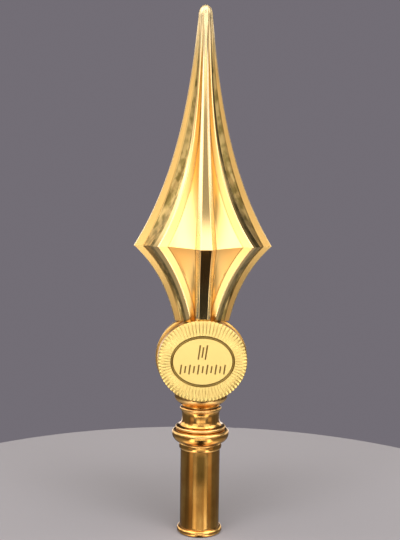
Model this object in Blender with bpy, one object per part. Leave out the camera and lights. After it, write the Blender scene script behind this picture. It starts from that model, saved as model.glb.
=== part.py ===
# Flagpole finial: a ribbed gilt-brass spearhead on a fluted oval cartouche and a turned socket.
# Metres, +Z up. The socket's mouth lies in the plane z = 0 on the Z axis, and the front faces -Y.
import math

import bpy
import bmesh
from mathutils import Matrix, Vector

MM = 0.001

# Clearance between two pieces that touch
fit_gap = 0.3 * MM

# Socket tube, which goes over the pole
socket_length = 62.0 * MM
socket_outer_radius = 14.3 * MM
socket_bore_radius = 13.0 * MM
spigot_length = 10.0 * MM
bead_radius = 16.45 * MM
bead_height = 4.5 * MM
bead_bulge = 2.0 * MM
bead_flat_width = 2.15 * MM
bead_step = 0.2 * MM

# Turned collar, from its foot ring up to the cradle under the cartouche
foot_ring_radius = 15.5 * MM
foot_ring_height = 5.0 * MM
foot_ring_bulge = 0.8 * MM
groove_radius = 14.9 * MM
knop_radius = 20.7 * MM
knop_height = 9.6 * MM
knop_lower_bulge = 5.0 * MM
knop_upper_bulge = 2.8 * MM
knop_middle_share = 0.73
upper_ring_radius = 18.2 * MM
upper_ring_height = 2.6 * MM
upper_ring_bulge = 1.2 * MM
upper_ring_undercut = 0.9 * MM
neck_radius = 13.6 * MM
neck_height = 11.6 * MM
neck_flare = 2.2 * MM
neck_ring_radius = 15.1 * MM
neck_ring_height = 2.2 * MM
neck_ring_bulge = 0.8 * MM
cradle_radius = 19.6 * MM
cradle_height = 6.8 * MM
cradle_wing_height = 3.6 * MM

# Oval cartouche drum, its axis along Y
drum_half_width = 31.7 * MM
drum_half_height = 29.2 * MM
drum_depth = 34.0 * MM
drum_rim_height = 1.5 * MM
drum_rim_width = 2.4 * MM
seat_height = 26.6 * MM

# Face plates on the drum's two ends
plate_rim_thickness = 1.6 * MM
plate_flute_rise = 0.9 * MM
plate_flutes = 68
flute_depth = 0.4 * MM
flute_scallop = 0.4 * MM
rim_valley_depth = 0.3 * MM
lip_valley_depth = 0.15 * MM
channel_half_width = 22.9 * MM
channel_half_height = 18.4 * MM
channel_width = 2.0 * MM
channel_depth = 1.0 * MM
channel_wall_lean = 0.3 * MM
stroke_depth = 0.4 * MM
stroke_width = 1.1 * MM
stroke_slant = math.radians(8)
lesser_stroke_share = 0.72
short_stroke_count = 3
short_group_width = 7.5 * MM
short_group_height = 10.5 * MM
short_group_rise = 6.6 * MM
long_stroke_count = 11
long_row_width = 34.0 * MM
long_row_height = 7.0 * MM
long_row_rise = -5.6 * MM

# Spearhead: four leading ribs (front, back, left, right) and four lesser ribs between them
belt_radius = 49.3 * MM
lesser_belt_radius = 50.0 * MM
lesser_belt_rise = 1.3 * MM
foot_radius = 19.7 * MM
lesser_foot_radius = 15.2 * MM
tip_radius = 5.0 * MM
lesser_tip_radius = 4.6 * MM
lower_height = 54.0 * MM
upper_height = 161.5 * MM
dome_height = 8.0 * MM
rib_flat_half_width = 3.95 * MM
rib_bevel_run = 3.2 * MM
rib_bevel_drop = 6.6 * MM
panel_hollow = 0.5 * MM
rib_drop_share = 0.28
rib_reach_share = 0.35

# How hard each rib's outline is drawn in at the waist: 0 is a straight line
lower_bow = 1.54
lesser_lower_bow = 1.25
upper_bow = 1.9
lesser_upper_bow = 3.3

# Facets
turned_sides = 32
drum_sides = 64
ribs = 8
lower_rings = 8
upper_rings = 14
dome_rings = 3

# Heights that follow from the sizes above
collar_foot_z = socket_length + fit_gap
saddle_z = (collar_foot_z + foot_ring_height + knop_height + upper_ring_height + neck_height
            + neck_ring_height + cradle_height)
drum_centre_z = saddle_z + fit_gap + drum_half_height
spear_foot_z = drum_centre_z + seat_height + fit_gap
belt_z = spear_foot_z + lower_height
shoulder_z = belt_z + upper_height


def clear_scene():
    for obj in list(bpy.data.objects):
        bpy.data.objects.remove(obj, do_unlink=True)


def gilt(name, colour, roughness):
    """A gilt-brass material with its own colour and polish."""
    material = bpy.data.materials.new(name)
    material.use_nodes = True
    shader = material.node_tree.nodes["Principled BSDF"]
    shader.inputs["Base Color"].default_value = (*colour, 1.0)
    shader.inputs["Roughness"].default_value = roughness
    shader.inputs["Metallic"].default_value = 1.0
    return material


def add_object(name, bm, material=None):
    """Turn a bmesh into a named object whose faces point out."""
    bmesh.ops.recalc_face_normals(bm, faces=bm.faces)
    mesh = bpy.data.meshes.new(name)
    bm.to_mesh(mesh)
    bm.free()
    mesh.shade_smooth()
    mesh.set_sharp_from_angle(angle=math.radians(30))
    obj = bpy.data.objects.new(name, mesh)
    bpy.context.collection.objects.link(obj)
    if material:
        mesh.materials.append(material)
    return obj


def cut(target, cutter):
    """Take the cutter's shape out of the target, and keep the cutter as a wire guide."""
    modifier = target.modifiers.new("cut_" + cutter.name, "BOOLEAN")
    modifier.operation = "DIFFERENCE"
    modifier.solver = "EXACT"
    modifier.object = cutter
    cutter.hide_render = True
    cutter.display_type = "WIRE"


def arc(centre_r, centre_z, radius_r, radius_z, start, end, steps):
    """Points (r, z) of an elliptical arc, its angles in degrees from the outward direction."""
    points = []
    for i in range(steps + 1):
        angle = math.radians(start + (end - start) * i / steps)
        points.append((centre_r + radius_r * math.cos(angle), centre_z + radius_z * math.sin(angle)))
    return points


def turned(name, profile, closed, material):
    """Spin a profile of (r, z) points about the Z axis into one closed body."""
    bm = bmesh.new()
    verts = [bm.verts.new((r, 0, z)) for r, z in profile]
    edges = [bm.edges.new(pair) for pair in zip(verts, verts[1:])]
    if closed:
        edges.append(bm.edges.new((verts[-1], verts[0])))
    bmesh.ops.spin(bm, geom=verts + edges, cent=(0, 0, 0), axis=(0, 0, 1), angle=2 * math.pi,
                   steps=turned_sides, use_merge=True)
    bmesh.ops.remove_doubles(bm, verts=bm.verts, dist=0.01 * MM)
    return add_object(name, bm, material)


def loft(rings, top_cap=True):
    """A closed body over rings of equal length, capped flat at the first and last ring."""
    bm = bmesh.new()
    loops = [[bm.verts.new(point) for point in ring] for ring in rings]
    for low, high in zip(loops, loops[1:]):
        for i in range(len(low)):
            j = (i + 1) % len(low)
            bm.faces.new((low[i], low[j], high[j], high[i]))
    bm.faces.new(loops[0])
    if top_cap:
        bm.faces.new(loops[-1])
    return bm, loops


def oval(half_width, half_height, y, sides):
    """Points of an oval in a plane across Y, centred on the drum."""
    points = []
    for i in range(sides):
        angle = 2 * math.pi * i / sides
        points.append((half_width * math.cos(angle), y, drum_centre_z + half_height * math.sin(angle)))
    return points


def make_socket_tube():
    """A plain tube with a rolled bead at its mouth; its top is a spigot inside the collar."""
    bead_middle = bead_height / 2
    profile = [(socket_bore_radius, 0), (socket_bore_radius + bead_flat_width, 0)]
    profile += arc(bead_radius - bead_bulge, bead_middle, bead_bulge, bead_middle, -62, 85, 5)
    profile += [(socket_outer_radius, bead_height + bead_step)]
    top = socket_length + spigot_length
    profile += [(socket_outer_radius, top), (socket_bore_radius, top)]
    return turned("socket_tube", profile, True, gilt("socket_gilt", (0.55, 0.36, 0.10), 0.28))


def make_collar():
    """The turned collar: foot ring, knop, upper ring, waisted neck, neck ring and cradle."""
    recess_radius = socket_outer_radius + fit_gap
    recess_top = collar_foot_z + spigot_length
    profile = [(0, recess_top), (recess_radius, recess_top), (recess_radius, collar_foot_z)]

    foot_middle = collar_foot_z + foot_ring_height / 2
    profile += arc(foot_ring_radius - foot_ring_bulge, foot_middle, foot_ring_bulge, 0.46 * foot_ring_height,
                   -78, 70, 3)

    knop_foot = collar_foot_z + foot_ring_height
    knop_middle = knop_foot + knop_middle_share * knop_height
    profile += [(groove_radius, knop_foot)]
    profile += arc(knop_radius - knop_lower_bulge, knop_middle, knop_lower_bulge, 0.68 * knop_height,
                   -72, 0, 4)
    profile += arc(knop_radius - knop_upper_bulge, knop_middle, knop_upper_bulge, 0.26 * knop_height,
                   28, 75, 2)

    ring_foot = knop_foot + knop_height
    ring_middle = ring_foot + upper_ring_height / 2
    profile += [(upper_ring_radius - upper_ring_undercut, ring_foot)]
    profile += arc(upper_ring_radius - upper_ring_bulge, ring_middle, upper_ring_bulge,
                   0.45 * upper_ring_height, -60, 80, 3)

    neck_foot = ring_foot + upper_ring_height
    for share, widening in ((0.06, 1.0), (0.20, 0.30), (0.36, 0.0), (0.72, 0.0), (0.90, 0.12), (0.99, 0.35)):
        profile.append((neck_radius + neck_flare * widening, neck_foot + neck_height * share))

    neck_ring_foot = neck_foot + neck_height
    neck_ring_middle = neck_ring_foot + neck_ring_height / 2
    profile += arc(neck_ring_radius - neck_ring_bulge, neck_ring_middle, neck_ring_bulge,
                   0.45 * neck_ring_height, -60, 60, 2)

    cradle_foot = neck_ring_foot + neck_ring_height
    spread = cradle_radius - neck_radius
    for share, widening in ((0.04, 0.08), (0.20, 0.10), (0.36, 0.24), (0.62, 0.62), (1.0, 0.92)):
        profile.append((neck_radius + spread * widening, cradle_foot + cradle_height * share))
    cradle_top = saddle_z + cradle_wing_height
    profile += [(cradle_radius, cradle_top), (0, cradle_top)]

    collar = turned("collar", profile, False, gilt("collar_gilt", (0.62, 0.41, 0.12), 0.25))
    cut(collar, make_drum_cutter())
    return collar


def make_drum_cutter():
    """The drum and plates as one oval, grown by the fit gap, with the drum's middle rim."""
    wide = drum_half_width + fit_gap
    high = drum_half_height + fit_gap
    reach = 2 * drum_depth
    half_rim = drum_rim_width / 2 + fit_gap
    rings = [oval(wide, high, -reach, drum_sides),
             oval(wide, high, -half_rim, drum_sides),
             oval(wide + drum_rim_height, high + drum_rim_height, -half_rim, drum_sides),
             oval(wide + drum_rim_height, high + drum_rim_height, half_rim, drum_sides),
             oval(wide, high, half_rim, drum_sides),
             oval(wide, high, reach, drum_sides)]
    bm, _ = loft(rings)
    return add_object("drum_space", bm)


def make_drum():
    """The oval drum with a raised rim round its middle and a flat seat on top."""
    half = drum_depth / 2
    half_rim = drum_rim_width / 2
    rim_wide = drum_half_width + drum_rim_height
    rim_high = drum_half_height + drum_rim_height
    rings = [oval(drum_half_width, drum_half_height, -half, drum_sides),
             oval(drum_half_width, drum_half_height, -half_rim, drum_sides),
             oval(rim_wide, rim_high, -0.6 * half_rim, drum_sides),
             oval(rim_wide, rim_high, 0.6 * half_rim, drum_sides),
             oval(drum_half_width, drum_half_height, half_rim, drum_sides),
             oval(drum_half_width, drum_half_height, half, drum_sides)]
    bm, _ = loft(rings)
    seat_z = drum_centre_z + seat_height
    cutaway = bmesh.ops.bisect_plane(bm, geom=bm.verts[:] + bm.edges[:] + bm.faces[:], dist=0.001 * MM,
                                     plane_co=(0, 0, seat_z), plane_no=(0, 0, 1), clear_outer=True)
    rim_edges = [e for e in cutaway["geom_cut"] if isinstance(e, bmesh.types.BMEdge)]
    bmesh.ops.edgeloop_fill(bm, edges=rim_edges)
    return add_object("cartouche_drum", bm, gilt("drum_gilt", (0.66, 0.42, 0.12), 0.30))


def flute_ring(half_width, half_height, y, valley_drop, valley_inset):
    """A ring with a ridge and a valley for each flute; y counts out from the drum's middle."""
    sides = 2 * plate_flutes
    points = []
    for i in range(sides):
        angle = 2 * math.pi * i / sides
        drop = valley_drop if i % 2 else 0
        inset = valley_inset if i % 2 else 0
        x = (half_width - inset) * math.cos(angle)
        z = (half_height - inset) * math.sin(angle)
        points.append((x, -(y - drop), drum_centre_z + z))
    return points


def stroke_boxes(field_y):
    """Slanting bars, tall and short by turns, for two engraved lines: a tall group over a long row."""
    rows = ((short_stroke_count, short_group_width, short_group_height, short_group_rise),
            (long_stroke_count, long_row_width, long_row_height, long_row_rise))
    bm = bmesh.new()
    for count, width, height, rise in rows:
        for i in range(count):
            x = width * ((i + 0.5) / count - 0.5)
            length = height * (lesser_stroke_share if i % 2 else 1.0)
            place = Matrix.Translation((x, -field_y, drum_centre_z + rise))
            place = place @ Matrix.Rotation(stroke_slant, 4, "Y")
            size = Matrix.Diagonal((stroke_width, 2 * stroke_depth, length, 1))
            bmesh.ops.create_cube(bm, size=1, matrix=place @ size)
    return bm


def make_face_plate(name, turn, colour):
    """An oval plate: radial flutes round a sunk channel, and a flat field with engraved strokes."""
    back_y = drum_depth / 2 + fit_gap
    rim_y = back_y + plate_rim_thickness
    crest_y = rim_y + plate_flute_rise
    inner_w = channel_half_width - channel_width
    inner_h = channel_half_height - channel_width
    mid_w = (drum_half_width + channel_half_width) / 2
    mid_h = (drum_half_height + channel_half_height) / 2
    lean = channel_wall_lean
    floor_y = crest_y - channel_depth
    rings = [flute_ring(drum_half_width, drum_half_height, back_y, 0, flute_scallop),
             flute_ring(drum_half_width, drum_half_height, rim_y, rim_valley_depth, flute_scallop),
             flute_ring(mid_w, mid_h, crest_y, flute_depth, 0),
             flute_ring(channel_half_width, channel_half_height, crest_y, lip_valley_depth, 0),
             flute_ring(channel_half_width - lean, channel_half_height - lean, floor_y, 0, 0),
             flute_ring(inner_w + lean, inner_h + lean, floor_y, 0, 0),
             flute_ring(inner_w, inner_h, crest_y, 0, 0)]
    bm, _ = loft(rings)
    bmesh.ops.rotate(bm, verts=bm.verts, cent=(0, 0, 0), matrix=Matrix.Rotation(turn, 3, "Z"))
    plate = add_object(name, bm, gilt(name + "_gilt", colour, 0.35))

    strokes = stroke_boxes(crest_y)
    bmesh.ops.rotate(strokes, verts=strokes.verts, cent=(0, 0, 0), matrix=Matrix.Rotation(turn, 3, "Z"))
    cut(plate, add_object(name + "_strokes", strokes))
    return plate


def flare(share, start, end, bow):
    """A concave outline from start to end as share goes from 0 to 1."""
    fall = (math.exp(-bow * share) - math.exp(-bow)) / (1 - math.exp(-bow))
    return end + (start - end) * fall


def rib_points(radius, belt, flat_half, relief):
    """One rib's corners (out, across): bevel foot, flat, flat, bevel foot."""
    share = math.sqrt(radius / belt)
    drop = min(rib_bevel_drop * share, rib_drop_share * radius) * relief
    reach = min(flat_half + rib_bevel_run * share, rib_reach_share * (radius - drop))
    return [(radius - drop, -reach), (radius, -flat_half), (radius, flat_half), (radius - drop, reach)]


def spear_ring(z, radius, lesser_radius, flat_half, lesser_rise, relief):
    """The spearhead's section at height z: eight ribs with hollow panels between them."""
    hollow = panel_hollow * relief
    corners = []
    for i in range(ribs):
        lesser = i % 2 == 1
        turn = 2 * math.pi * i / ribs - math.pi / 2
        out = Vector((math.cos(turn), math.sin(turn), 0))
        across = Vector((-math.sin(turn), math.cos(turn), 0))
        lift = Vector((0, 0, z + (lesser_rise if lesser else 0)))
        ring_radius = lesser_radius if lesser else radius
        belt = lesser_belt_radius if lesser else belt_radius
        rib = rib_points(ring_radius, belt, flat_half, relief)
        corners.append([out * r + across * a + lift for r, a in rib])
    points = []
    for i in range(ribs):
        points += corners[i]
        middle = (corners[i][3] + corners[(i + 1) % ribs][0]) / 2
        inward = Vector((middle.x, middle.y, 0)).normalized() * hollow
        points.append(middle - inward)
    return points


def make_spearhead():
    """Two flared halves meeting at the sharp belt, and a blunt dome at the tip."""
    rings = []
    for i in range(lower_rings + 1):
        share = 1 - i / lower_rings
        radius = flare(share, belt_radius, foot_radius, lower_bow)
        lesser = flare(share, lesser_belt_radius, lesser_foot_radius, lesser_lower_bow)
        flat_half = rib_flat_half_width * (radius / belt_radius) ** 0.2
        rings.append(spear_ring(belt_z - lower_height * share, radius, lesser, flat_half,
                                lesser_belt_rise * (1 - share), 1.0))
    for i in range(1, upper_rings + 1):
        share = i / upper_rings
        radius = flare(share, belt_radius, tip_radius, upper_bow)
        lesser = flare(share, lesser_belt_radius, lesser_tip_radius, lesser_upper_bow)
        flat_half = rib_flat_half_width * (radius / belt_radius) ** 0.92
        relief = min(1.0, (1 - share) * 5 + 0.12)
        rings.append(spear_ring(belt_z + upper_height * share, radius, lesser, flat_half,
                                lesser_belt_rise * (1 - share), relief))
    shoulder = rings[-1]
    for i in range(1, dome_rings + 1):
        angle = math.pi / 2 * i / (dome_rings + 1)
        shrink = math.cos(angle)
        z = shoulder_z + dome_height * math.sin(angle)
        rings.append([(point.x * shrink, point.y * shrink, z) for point in shoulder])
    bm, loops = loft(rings, top_cap=False)
    tip = bm.verts.new((0, 0, shoulder_z + dome_height))
    last = loops[-1]
    for i in range(len(last)):
        bm.faces.new((last[i], last[(i + 1) % len(last)], tip))
    spearhead = add_object("spearhead", bm, gilt("spearhead_gilt", (0.86, 0.58, 0.20), 0.30))
    cut(spearhead, make_plate_space("front_plate_space", -1))
    cut(spearhead, make_plate_space("back_plate_space", 1))
    return spearhead


def make_plate_space(name, side):
    """The room a face plate needs in front of the spearhead's foot."""
    wide = drum_half_width + fit_gap
    high = drum_half_height + fit_gap
    near = side * (drum_depth / 2)
    far = side * (drum_depth / 2 + 4 * plate_rim_thickness)
    bm, _ = loft([oval(wide, high, near, drum_sides), oval(wide, high, far, drum_sides)])
    return add_object(name, bm)


clear_scene()
make_socket_tube()
make_collar()
make_drum()
make_face_plate("front_face_plate", 0, (0.88, 0.64, 0.20))
make_face_plate("back_face_plate", math.pi, (0.84, 0.60, 0.20))
make_spearhead()
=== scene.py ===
# %% [markdown]
# # A gilt flagpole finial
#
# The finial is a ribbed spearhead standing on an oval cartouche, on a turned collar and a
# socket that slips over the pole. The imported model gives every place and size; this lesson
# builds the fine surfaces around it and gives each its gilding.

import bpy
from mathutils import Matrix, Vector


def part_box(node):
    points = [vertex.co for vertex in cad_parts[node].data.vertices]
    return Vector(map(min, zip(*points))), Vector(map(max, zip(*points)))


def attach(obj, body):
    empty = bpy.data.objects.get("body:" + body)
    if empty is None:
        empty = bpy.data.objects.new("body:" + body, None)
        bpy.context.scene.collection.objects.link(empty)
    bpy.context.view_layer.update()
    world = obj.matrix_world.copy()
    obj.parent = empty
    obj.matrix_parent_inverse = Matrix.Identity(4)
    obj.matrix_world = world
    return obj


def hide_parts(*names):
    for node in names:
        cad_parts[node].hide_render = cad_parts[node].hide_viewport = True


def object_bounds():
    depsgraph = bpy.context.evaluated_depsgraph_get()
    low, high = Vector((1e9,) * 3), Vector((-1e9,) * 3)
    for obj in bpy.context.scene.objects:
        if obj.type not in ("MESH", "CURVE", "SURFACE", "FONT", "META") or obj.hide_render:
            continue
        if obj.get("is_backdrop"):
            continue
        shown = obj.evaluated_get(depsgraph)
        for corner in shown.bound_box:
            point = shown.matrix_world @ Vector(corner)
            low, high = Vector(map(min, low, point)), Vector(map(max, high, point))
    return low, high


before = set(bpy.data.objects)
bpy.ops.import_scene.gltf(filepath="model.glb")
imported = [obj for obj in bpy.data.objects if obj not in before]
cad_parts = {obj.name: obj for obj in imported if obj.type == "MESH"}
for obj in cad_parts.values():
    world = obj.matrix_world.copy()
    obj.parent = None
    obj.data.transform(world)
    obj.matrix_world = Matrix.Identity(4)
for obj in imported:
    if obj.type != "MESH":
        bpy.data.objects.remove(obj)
cad_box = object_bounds()
print("pieces in the frame:", sorted(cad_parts))

# %% [markdown]
# Everything is in metres, +Z up, and the front faces -Y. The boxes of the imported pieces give
# the main sizes, so the fine pieces fill exactly the same space.

# %% Read the main sizes
import math

import bmesh
import bpy
from mathutils import Matrix, Vector

MM = 0.001
spear_low, spear_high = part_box("spearhead")
plate_low, plate_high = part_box("front_face_plate")
_, drum_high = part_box("cartouche_drum")
collar_low, collar_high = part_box("collar")
_, tube_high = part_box("socket_tube")

disc_centre_z = (plate_low.z + plate_high.z) / 2
disc_half_width = plate_high.x
disc_half_height = plate_high.z - disc_centre_z
belt_radius = spear_high.x
print("height", round(spear_high.z / MM, 1), "mm")
print("across the belt", round(2 * belt_radius / MM, 1), "mm")

# %% [markdown]
# ## Helpers
#
# A piece starts as a bmesh. At the end its normals are recalculated, so that the gilding faces
# outwards, and its sharp corners are marked by angle, so that the rest shades smoothly.

# %% Finish a piece
def add_piece(name, bm, sharp_degrees=40):
    """Make an object from a bmesh, smooth apart from corners sharper than the angle."""
    bmesh.ops.recalc_face_normals(bm, faces=bm.faces)
    mesh = bpy.data.meshes.new(name)
    bm.to_mesh(mesh)
    bm.free()
    mesh.shade_smooth()
    mesh.set_sharp_from_angle(angle=math.radians(sharp_degrees))
    piece = bpy.data.objects.new(name, mesh)
    bpy.context.scene.collection.objects.link(piece)
    print(name, "has", len(mesh.polygons), "faces")
    return piece


# %% [markdown]
# Strokes and saddle are shapes taken out of another. A Boolean modifier does that exactly, and
# its result is kept as a plain mesh.

# %% Take one shape out of another
def cut_away(piece, cutter, sharp_degrees, keep_material=False):
    """Take the cutter's shape out of the piece for good, and remove the cutter."""
    cut = piece.modifiers.new("cut", "BOOLEAN")
    cut.operation = "DIFFERENCE"
    cut.solver = "EXACT"
    cut.material_mode = "TRANSFER" if keep_material else "INDEX"
    cut.object = cutter
    depsgraph = bpy.context.evaluated_depsgraph_get()
    mesh = bpy.data.meshes.new_from_object(piece.evaluated_get(depsgraph))
    piece.modifiers.clear()
    piece.data = mesh
    mesh.set_sharp_from_angle(angle=math.radians(sharp_degrees))
    bpy.data.objects.remove(cutter)


# %% [markdown]
# A moulding is drawn as a chain of points. Elliptical arcs keep the list short, because a
# turner's profile is made of beads, hollows and flats.

# %% Draw an arc of a profile
def arc(centre_r, centre_z, radius_r, radius_z, start, end, steps):
    """Points (r, z) of an elliptical arc; 0 degrees points outwards and 90 up."""
    points = []
    for i in range(steps + 1):
        angle = math.radians(start + (end - start) * i / steps)
        points.append((centre_r + radius_r * math.cos(angle),
                       centre_z + radius_z * math.sin(angle)))
    return points


# %% [markdown]
# Bodies that grow ring by ring use one move: extrude the open edges of the last ring, and put
# the new vertices where the shape wants them. Each vertex carries its station round the ring
# in a layer, which extrusion copies, so it always knows where it belongs.

# %% Grow a body ring by ring
def start_body(bm, points):
    """A closed first ring at the points, filled, whose vertices know their station."""
    station = bm.verts.layers.int.new("station")
    ring = bmesh.ops.create_circle(bm, segments=len(points), radius=1.0)["verts"]
    for i, vert in enumerate(ring):
        vert[station] = i
        vert.co = points[i]
    bmesh.ops.edgeloop_fill(bm, edges=bm.edges[:])
    return ring, station


def grow_ring(bm, ring, station, points):
    """Extrude the ring and move the new vertices to their points."""
    members = set(ring)
    edges = [e for e in bm.edges
             if e.verts[0] in members and e.verts[1] in members and len(e.link_faces) < 2]
    grown = bmesh.ops.extrude_edge_only(bm, edges=edges)["geom"]
    fresh = [g for g in grown if isinstance(g, bmesh.types.BMVert)]
    for vert in fresh:
        vert.co = points[vert[station]]
    return fresh


def close_body(bm):
    """Fill the last ring, which is still open."""
    bmesh.ops.edgeloop_fill(bm, edges=[e for e in bm.edges if len(e.link_faces) == 1])


# %% [markdown]
# ## Gilding
#
# A shader is a sum over the surface, so it reads best as a sum. This small class wraps one
# output of a node; plus, minus and times between such values add Math nodes.

# %% Shader values that can be reckoned with
class Value:
    """One output of a shader node, which sums and products turn into more nodes."""

    def __init__(self, shades, socket):
        self.shades, self.socket = shades, socket

    def reckon(self, operation, *inputs):
        settings = {"operation": operation}
        return self.shades.node("ShaderNodeMath", settings, dict(enumerate(inputs)))

    def __add__(self, other):
        return self.reckon("ADD", self, other)

    def __sub__(self, other):
        return self.reckon("SUBTRACT", self, other)

    def __rsub__(self, other):
        return self.reckon("SUBTRACT", other, self)

    def __mul__(self, other):
        return self.reckon("MULTIPLY", self, other)

    __radd__ = __add__

    def size(self):
        """The value without its sign."""
        return self.reckon("ABSOLUTE", self)

    def between(self, low, high):
        """0 below low, 1 above high, and a smooth rise from one to the other."""
        return self.shades.node("ShaderNodeMapRange", {"interpolation_type": "SMOOTHSTEP"},
                                {"Value": self, "From Min": low, "From Max": high})

    def below(self, low, high):
        """1 below low, 0 above high, and a smooth fall from one to the other."""
        return 1 - self.between(low, high)

    def band(self, start, full, fading, end):
        """1 from full to fading, falling smoothly to 0 at start and at end."""
        return self.between(start, full) * self.below(fading, end)


# %% [markdown]
# Nodes are added one by one to a tree. One helper serves the gildings and the studio.

# %% Add nodes to a tree
class Shades:
    """A node tree that grows by one node at a time."""

    def __init__(self, tree):
        self.tree = tree

    def node(self, kind, settings, inputs, output=0):
        """Add a node; inputs may be numbers, tuples or other values."""
        node = self.tree.nodes.new(kind)
        for setting, value in settings.items():
            setattr(node, setting, value)
        for name, value in inputs.items():
            self.feed(node.inputs[name], value)
        return Value(self, node.outputs[output])

    def feed(self, socket, value):
        if isinstance(value, Value):
            self.tree.links.new(value.socket, socket)
        else:
            socket.default_value = value

    def mix(self, share, first, second):
        """The first colour where share is 0 and the second where it is 1."""
        inputs = {0: share, 6: first, 7: second}
        return self.node("ShaderNodeMix", {"data_type": "RGBA"}, inputs, 2)


# %% [markdown]
# Every finish on the finial is the same metal under different treatment, so one class makes
# them all. Noise on Object coordinates stays with its piece, and a colour attribute named
# finish tells the shader where the mesh was burnished, where patina lies, and where shade and
# highlights are painted.

# %% A finish in the making
class Finish(Shades):
    """A gilding: a material with its noises, marks and bump."""

    def __init__(self, name, metallic=1.0):
        self.material = bpy.data.materials.new(name)
        self.material.use_nodes = True
        super().__init__(self.material.node_tree)
        self.shader = self.tree.nodes["Principled BSDF"]
        self.shader.inputs["Metallic"].default_value = metallic

    def noise(self, scale, stretch=(1, 1, 1), detail=3.0):
        """Cloudy values round 0.5 that keep their place on the piece."""
        place = self.node("ShaderNodeTexCoord", {}, {}, "Object")
        turned = self.node("ShaderNodeMapping", {}, {"Vector": place, "Scale": stretch})
        return self.node("ShaderNodeTexNoise", {},
                         {"Vector": turned, "Scale": scale, "Detail": detail})

    def along(self, axis):
        """The place along an axis, in metres from the middle of the socket's mouth."""
        place = self.node("ShaderNodeTexCoord", {}, {}, "Object")
        return self.node("ShaderNodeSeparateXYZ", {}, {"Vector": place}, axis)

    def marks(self, channel):
        """One channel of the finish in the mesh."""
        colour = self.node("ShaderNodeAttribute", {"attribute_name": "finish"}, {}, "Color")
        return self.node("ShaderNodeSeparateColor", {}, {"Color": colour}, channel)

    def done(self, colour, roughness, relief=None, strength=0.2, depth=0.05 * MM):
        self.feed(self.shader.inputs["Base Color"], colour)
        self.feed(self.shader.inputs["Roughness"], roughness)
        if relief:
            inputs = {"Height": relief, "Strength": strength, "Distance": depth}
            bump = self.node("ShaderNodeBump", {}, inputs, "Normal")
            self.feed(self.shader.inputs["Normal"], bump)
        return self.material


# %% [markdown]
# ## The spearhead
#
# The real one is a thin casting with eight ribs. Each rib has a burnished flat, a matted bevel
# on either side, and a hollow matted panel lies between two ribs. Both halves flare to a sharp
# belt. It could be sculpted, but drawn section by section it keeps crisp, even ribs. The four
# lesser ribs, between the four that carry the outline, have radii of their own.

# %% Spearhead sizes
foot_radius = 19.7 * MM
tip_radius = 5.0 * MM
lesser_belt_radius = 50.0 * MM
lesser_foot_radius = 15.2 * MM
lesser_tip_radius = 4.6 * MM
lower_height = 54.0 * MM
dome_height = 8.0 * MM
lesser_belt_rise = 1.3 * MM
belt_z = spear_low.z + lower_height
shoulder_z = spear_high.z - dome_height
upper_height = shoulder_z - belt_z

rib_flat_half_width = 3.95 * MM
rib_bevel_run = 3.2 * MM
rib_bevel_drop = 6.6 * MM
bevel_drop_limit, bevel_reach_limit = 0.28, 0.35
panel_hollow = 0.6 * MM
corner_round = 0.35 * MM
guard_round = 2.2 * corner_round
print("belt at", round(belt_z / MM, 1), "mm, shoulder at", round(shoulder_z / MM, 1), "mm")

# %% [markdown]
# The spearhead has several finishes side by side. The flats are burnished bright and the panels
# are matted. The bevels of the front and back ribs are satin, painted paler as a highlight, and
# a thin pale highlight is painted along the rib corners. Along the foot of each bevel a thin
# brown line of painted shade marks the crease. The panels beside the side ribs are painted a
# mottled olive and tan as shade, and the tip is painted pale as a highlight and worn dull by
# many hands.
# Below the belt the matt gold is painted a touch warmer, as shade on the half that faces down.

# %% Gilding of the spearhead
matt_gold = (0.93, 0.62, 0.22, 1)
bright_gold = (0.96, 0.68, 0.30, 1)
warm_gold = (0.93, 0.60, 0.21, 1)
pale_highlight_gold = (1.0, 0.86, 0.56, 1)
bevel_foot_shade_brown = (0.16, 0.09, 0.02, 1)
side_panel_shade_olive = (0.14, 0.11, 0.03, 1)
side_panel_shade_tan = (0.44, 0.31, 0.12, 1)
tip_wear_and_highlight_reach = 45 * MM
GRAIN_SCALE = 2600


def spear_gilding():
    finish = Finish("spear_gilding")
    burnish = finish.marks("Red")
    bevel_foot_shade = finish.marks("Green")
    # Below the belt the matt gold turns a touch warmer: painted shade on the half that faces
    # down.
    below_belt = finish.along("Z").below(belt_z - 2 * MM, belt_z + 1 * MM)
    tip_wear_and_highlight = finish.along("Z").between(shoulder_z - tip_wear_and_highlight_reach, shoulder_z)
    matt = finish.mix(below_belt, matt_gold, warm_gold)
    colour = finish.mix(burnish.between(0.3, 0.8), matt, bright_gold)
    clouds = finish.noise(70, detail=4)
    colour = finish.mix((clouds - 0.45) * 0.5, colour, warm_gold)
    # Satin bevels and thin lines along the rib corners are painted pale: a painted highlight.
    colour = finish.mix(burnish.band(0.2, 0.45, 0.55, 0.8), colour, pale_highlight_gold)
    # The tip is painted pale as a highlight; its rise in roughness below is wear.
    colour = finish.mix(tip_wear_and_highlight * 0.6, colour, pale_highlight_gold)
    # The panels beside the side ribs are painted a mottled olive and tan as shade.
    mottle = finish.noise(230, stretch=(1, 1, 0.6), detail=3)
    side_shade = finish.mix(mottle.between(0.35, 0.62), side_panel_shade_olive, side_panel_shade_tan)
    colour = finish.mix(finish.marks("Blue") * 0.9, colour, side_shade)
    # A thin brown line of painted shade runs along the foot of each bevel.
    colour = finish.mix(bevel_foot_shade.between(0.2, 0.9) * 0.35, colour, bevel_foot_shade_brown)
    roughness = 0.32 - burnish.between(0.3, 0.9) * 0.19 + (clouds - 0.5) * 0.08 + tip_wear_and_highlight * 0.2
    grain = finish.noise(GRAIN_SCALE, detail=2)
    return finish.done(colour, roughness, grain * (1 - burnish), 0.25)


# %% [markdown]
# The outline is waisted: it runs away from the belt fast and then almost straight. An
# exponential flare draws that from two radii and one bow factor.

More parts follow.
